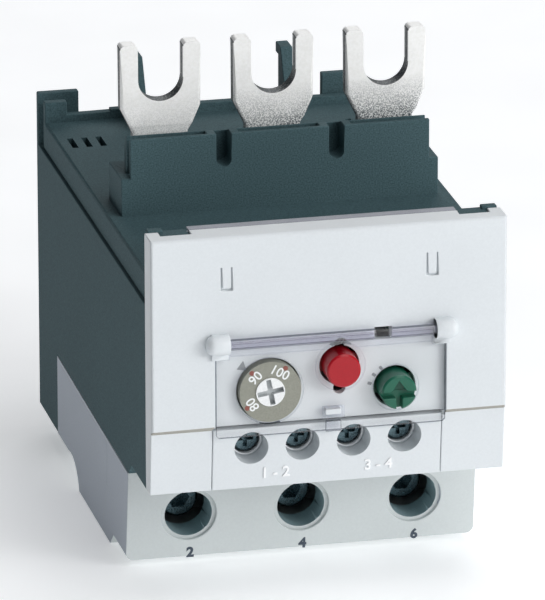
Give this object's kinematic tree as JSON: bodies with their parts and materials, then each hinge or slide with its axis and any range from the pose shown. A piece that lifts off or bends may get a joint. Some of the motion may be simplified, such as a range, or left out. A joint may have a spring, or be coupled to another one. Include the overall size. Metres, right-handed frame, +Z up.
{
  "type": "thermal overload relay",
  "caption": "Plug-in thermal overload relay: slotted fork terminals on top, box clamps below, a current dial, test and reset buttons behind a clear hinged window.",
  "frame": {"origin": "middle of the footprint at the height of the lower terminal block's sole", "axes": "+X to the right across the poles seen from the front, +Y from the front cover to the rear, +Z up towards the forks"},
  "size_m": [0.07, 0.1124, 0.0998],
  "materials": {
    "housing": "fine spark-eroded texture",
    "cover": "satin",
    "terminal_cover": "satin",
    "clear": "clear, polished",
    "dial": "satin",
    "red": "moulded gloss",
    "green": "moulded gloss",
    "inner": "natural moulding",
    "slides": "satin",
    "tinned": "tin plated, satin",
    "steel": "zinc plated",
    "spring_steel": "drawn wire",
    "bimetal": "rolled strip",
    "resistance": "heat tinted"
  },
  "bodies": {
    "case": {"base_housing": "housing", "top_housing": "housing", "front_cover": "cover", "auxiliary_terminal_block": "cover", "terminal_shroud": "terminal_cover", "load_terminal_housing": "terminal_cover", "mechanism_frame": "inner", "terminal_strips": "tinned", "lever_pin": "steel", "test_spring": "spring_steel", "carrier_spring": "spring_steel", "line_fork_1": "tinned", "heater_1": "resistance", "load_busbar_1": "tinned", "clamp_frame_1": "steel", "line_fork_2": "tinned", "heater_2": "resistance", "load_busbar_2": "tinned", "clamp_frame_2": "steel", "line_fork_3": "tinned", "heater_3": "resistance", "load_busbar_3": "tinned", "clamp_frame_3": "steel"},
    "window": {"window_cover": "clear"},
    "setting_dial": {"current_dial": "dial", "dial_cam": "inner"},
    "cam_follower": {"setting_lever": "inner"},
    "test_key": {"test_button": "red"},
    "reset_selector": {"reset_sleeve": "inner", "reset_spring": "spring_steel"},
    "reset_key": {"reset_button": "green"},
    "overload_slide": {"overload_bar": "slides", "differential_lever": "slides"},
    "phase_loss_slide": {"phase_loss_bar": "slides"},
    "tripper": {"trip_lever": "slides", "compensating_strip": "bimetal"},
    "carrier": {"contact_carrier": "inner", "trip_indicator": "slides"},
    "nc_contact": {"nc_contact_strip": "tinned"},
    "no_contact": {"no_contact_strip": "tinned"},
    "bimetal_strip_1": {"bimetal_1": "bimetal"},
    "load_clamp_1": {"pressure_plate_1": "steel"},
    "load_clamp_screw_1": {"load_screw_1": "steel"},
    "bimetal_strip_2": {"bimetal_2": "bimetal"},
    "load_clamp_2": {"pressure_plate_2": "steel"},
    "load_clamp_screw_2": {"load_screw_2": "steel"},
    "bimetal_strip_3": {"bimetal_3": "bimetal"},
    "load_clamp_3": {"pressure_plate_3": "steel"},
    "load_clamp_screw_3": {"load_screw_3": "steel"},
    "aux_washer_1": {"aux_clamp_1": "tinned"},
    "aux_terminal_screw_1": {"aux_screw_1": "steel"},
    "aux_washer_2": {"aux_clamp_2": "tinned"},
    "aux_terminal_screw_2": {"aux_screw_2": "steel"},
    "aux_washer_3": {"aux_clamp_3": "tinned"},
    "aux_terminal_screw_3": {"aux_screw_3": "steel"},
    "aux_washer_4": {"aux_clamp_4": "tinned"},
    "aux_terminal_screw_4": {"aux_screw_4": "steel"}
  },
  "joints": [
    {"name": "window_hinge", "type": "hinge", "parent": "case", "child": "window", "pos_m": [0.0003, -0.0543, 0.0542], "axis": [-1, 0, 0], "range_deg": [0, 110]},
    {"name": "dial_turn", "type": "hinge", "parent": "case", "child": "setting_dial", "pos_m": [-0.01174, -0.0533, 0.0437], "axis": [0, 1, 0], "range_deg": [-90, 90]},
    {"name": "cam_follower_turn", "type": "hinge", "parent": "case", "child": "cam_follower", "pos_m": [-0.00684, -0.0383, 0.055], "axis": [0, 1, 0], "range_deg": [-5.2, 5.2]},
    {"name": "test_push", "type": "slide", "parent": "case", "child": "test_key", "axis": [0, 1, 0], "range_m": [0, 0.0025], "stiffness_N_per_m": 300, "springref_m": -0.003, "deforming": ["test_spring"]},
    {"name": "reset_select", "type": "hinge", "parent": "case", "child": "reset_selector", "pos_m": [0.0131, -0.0433, 0.0424], "axis": [0, 1, 0], "range_deg": [-90, 0]},
    {"name": "reset_push", "type": "slide", "parent": "reset_selector", "child": "reset_key", "axis": [0, 1, 0], "range_m": [0, 0.0018], "stiffness_N_per_m": 300, "springref_m": -0.003, "deforming": ["reset_spring"]},
    {"name": "overload_trip", "type": "slide", "parent": "case", "child": "overload_slide", "axis": [1, 0, 0], "range_m": [0, 0.0025], "stiffness_N_per_m": 200, "springref_m": -0.002},
    {"name": "phase_loss_trip", "type": "slide", "parent": "case", "child": "phase_loss_slide", "axis": [1, 0, 0], "range_m": [0, 0.0025]},
    {"name": "bimetal_bend_1", "type": "hinge", "parent": "case", "child": "bimetal_strip_1", "pos_m": [-0.02258, 0.0287, 0.02765], "axis": [0, 1, 0], "range_deg": [0, 8.1]},
    {"name": "bimetal_bend_2", "type": "hinge", "parent": "case", "child": "bimetal_strip_2", "pos_m": [0, 0.0287, 0.02765], "axis": [0, 1, 0], "range_deg": [0, 8.1]},
    {"name": "bimetal_bend_3", "type": "hinge", "parent": "case", "child": "bimetal_strip_3", "pos_m": [0.02258, 0.0287, 0.02765], "axis": [0, 1, 0], "range_deg": [0, 8.1]},
    {"name": "trip_lever_turn", "type": "hinge", "parent": "case", "child": "tripper", "pos_m": [0.0283, -0.0063, 0.045], "axis": [0, 0, 1], "range_deg": [-6.5, 0]},
    {"name": "carrier_slide", "type": "slide", "parent": "case", "child": "carrier", "axis": [-1, 0, 0], "range_m": [0, 0.0025], "deforming": ["carrier_spring"]},
    {"name": "nc_contact_bend", "type": "hinge", "parent": "case", "child": "nc_contact", "pos_m": [-0.009, -0.0283, 0.0347], "axis": [0, 1, 0], "range_deg": [-5.8, 0]},
    {"name": "no_contact_bend", "type": "hinge", "parent": "case", "child": "no_contact", "pos_m": [0.01015, -0.0283, 0.0347], "axis": [0, 1, 0], "range_deg": [-4.8, 0]},
    {"name": "load_clamp_slide_1", "type": "slide", "parent": "case", "child": "load_clamp_1", "axis": [0, 1, 0], "range_m": [0, 0.0075]},
    {"name": "load_screw_turn_1", "type": "hinge", "parent": "load_clamp_1", "child": "load_clamp_screw_1", "pos_m": [-0.02258, -0.0113, 0.01075], "axis": [0, 1, 0], "range_deg": [0, 2164]},
    {"name": "load_clamp_slide_2", "type": "slide", "parent": "case", "child": "load_clamp_2", "axis": [0, 1, 0], "range_m": [0, 0.0075]},
    {"name": "load_screw_turn_2", "type": "hinge", "parent": "load_clamp_2", "child": "load_clamp_screw_2", "pos_m": [0, -0.0113, 0.01075], "axis": [0, 1, 0], "range_deg": [0, 2164]},
    {"name": "load_clamp_slide_3", "type": "slide", "parent": "case", "child": "load_clamp_3", "axis": [0, 1, 0], "range_m": [0, 0.0075]},
    {"name": "load_screw_turn_3", "type": "hinge", "parent": "load_clamp_3", "child": "load_clamp_screw_3", "pos_m": [0.02258, -0.0113, 0.01075], "axis": [0, 1, 0], "range_deg": [0, 2164]},
    {"name": "aux_clamp_slide_1", "type": "slide", "parent": "case", "child": "aux_washer_1", "axis": [0, 1, 0], "range_m": [0, 0.0025]},
    {"name": "aux_screw_turn_1", "type": "hinge", "parent": "aux_washer_1", "child": "aux_terminal_screw_1", "pos_m": [-0.01515, -0.0433, 0.032], "axis": [0, 1, 0], "range_deg": [0, 1810]},
    {"name": "aux_clamp_slide_2", "type": "slide", "parent": "case", "child": "aux_washer_2", "axis": [0, 1, 0], "range_m": [0, 0.0025]},
    {"name": "aux_screw_turn_2", "type": "hinge", "parent": "aux_washer_2", "child": "aux_terminal_screw_2", "pos_m": [-0.00505, -0.0433, 0.032], "axis": [0, 1, 0], "range_deg": [0, 1810]},
    {"name": "aux_clamp_slide_3", "type": "slide", "parent": "case", "child": "aux_washer_3", "axis": [0, 1, 0], "range_m": [0, 0.0025]},
    {"name": "aux_screw_turn_3", "type": "hinge", "parent": "aux_washer_3", "child": "aux_terminal_screw_3", "pos_m": [0.00505, -0.0433, 0.032], "axis": [0, 1, 0], "range_deg": [0, 1810]},
    {"name": "aux_clamp_slide_4", "type": "slide", "parent": "case", "child": "aux_washer_4", "axis": [0, 1, 0], "range_m": [0, 0.0025]},
    {"name": "aux_screw_turn_4", "type": "hinge", "parent": "aux_washer_4", "child": "aux_terminal_screw_4", "pos_m": [0.01515, -0.0433, 0.032], "axis": [0, 1, 0], "range_deg": [0, 1810]}
  ],
  "couplings": [
    {"joint": "cam_follower_turn", "follows": "dial_turn", "ratio": 0.05634},
    {"joint": "phase_loss_trip", "follows": "overload_trip", "ratio": 1},
    {"joint": "trip_lever_turn", "follows": "overload_trip", "rad_per_m": -44.8},
    {"joint": "carrier_slide", "follows": "overload_trip", "ratio": 1},
    {"joint": "nc_contact_bend", "follows": "overload_trip", "rad_per_m": -40},
    {"joint": "no_contact_bend", "follows": "overload_trip", "rad_per_m": -31},
    {"joint": "bimetal_bend_1", "follows": "overload_trip", "rad_per_m": 56},
    {"joint": "bimetal_bend_2", "follows": "overload_trip", "rad_per_m": 56},
    {"joint": "bimetal_bend_3", "follows": "overload_trip", "rad_per_m": 56},
    {"joint": "load_screw_turn_1", "follows": "load_clamp_slide_1", "rad_per_m": 5026.5},
    {"joint": "load_screw_turn_2", "follows": "load_clamp_slide_2", "rad_per_m": 5026.5},
    {"joint": "load_screw_turn_3", "follows": "load_clamp_slide_3", "rad_per_m": 5026.5},
    {"joint": "aux_screw_turn_1", "follows": "aux_clamp_slide_1", "rad_per_m": 12566},
    {"joint": "aux_screw_turn_2", "follows": "aux_clamp_slide_2", "rad_per_m": 12566},
    {"joint": "aux_screw_turn_3", "follows": "aux_clamp_slide_3", "rad_per_m": 12566},
    {"joint": "aux_screw_turn_4", "follows": "aux_clamp_slide_4", "rad_per_m": 12566}
  ]
}
